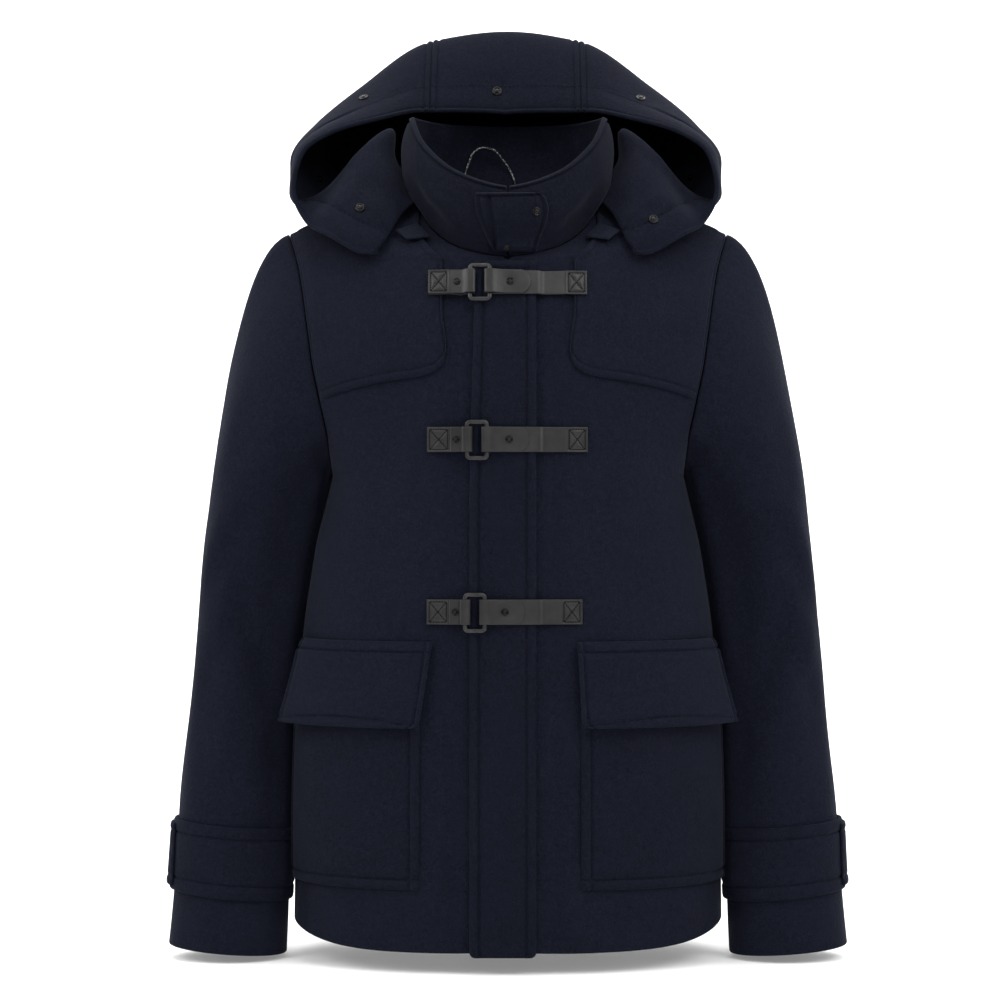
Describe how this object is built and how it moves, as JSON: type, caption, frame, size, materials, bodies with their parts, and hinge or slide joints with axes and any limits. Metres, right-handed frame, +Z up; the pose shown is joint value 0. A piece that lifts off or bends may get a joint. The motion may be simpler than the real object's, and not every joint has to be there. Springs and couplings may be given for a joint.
{
  "type": "hooded short coat",
  "caption": "Short hooded wool coat worn closed: standing collar, wide hood, strap and ring fastenings, flap pockets and banded cuffs.",
  "frame": {"origin": "centre of the neck opening at the base of the collar, where the coat rests on its wearer", "axes": "+Z up, -Y out of the coat's front, +X to the wearer's left"},
  "size_m": [0.6082, 0.3288, 0.8417],
  "materials": {
    "wool_cloth": "thick felted wool cloth with a short nap",
    "strap_leather": "smooth dark grey leather with cut edges",
    "dark_metal": "satin gunmetal",
    "loop_cord": "woven two-tone hanger cord"
  },
  "bodies": {
    "root": {"front_left": "wool_cloth", "front_right": "wool_cloth", "back": "wool_cloth", "sleeve_upper_left": "wool_cloth", "sleeve_upper_right": "wool_cloth", "sleeve_under_left": "wool_cloth", "sleeve_under_right": "wool_cloth", "cuff_band_left": "wool_cloth", "cuff_band_right": "wool_cloth", "cuff_tab_left": "wool_cloth", "cuff_tab_right": "wool_cloth", "collar": "wool_cloth", "collar_tab": "wool_cloth", "hood_side_left": "wool_cloth", "hood_side_right": "wool_cloth", "hood_centre": "wool_cloth", "placket": "wool_cloth", "yoke_left": "wool_cloth", "yoke_right": "wool_cloth", "pocket_left": "wool_cloth", "pocket_right": "wool_cloth", "pocket_flap_left": "wool_cloth", "pocket_flap_right": "wool_cloth", "hood_neck_tab_left": "wool_cloth", "hood_neck_tab_right": "wool_cloth", "hanger_loop": "loop_cord", "strap_right_top": "strap_leather", "strap_right_middle": "strap_leather", "strap_right_bottom": "strap_leather", "strap_left_top": "strap_leather", "strap_left_middle": "strap_leather", "strap_left_bottom": "strap_leather", "ring_top": "dark_metal", "ring_middle": "dark_metal", "ring_bottom": "dark_metal", "strap_stud_left_top": "dark_metal", "strap_stud_left_middle": "dark_metal", "strap_stud_left_bottom": "dark_metal", "strap_stud_right_top": "dark_metal", "strap_stud_right_middle": "dark_metal", "strap_stud_right_bottom": "dark_metal", "hood_stud_centre": "dark_metal", "hood_stud_side_left": "dark_metal", "hood_stud_side_right": "dark_metal", "hood_stud_inner_left": "dark_metal", "hood_stud_inner_right": "dark_metal", "hood_stud_lappet_left": "dark_metal", "hood_stud_lappet_right": "dark_metal", "collar_tab_stud": "dark_metal", "collar_base_stud": "dark_metal"}
  },
  "joints": []
}
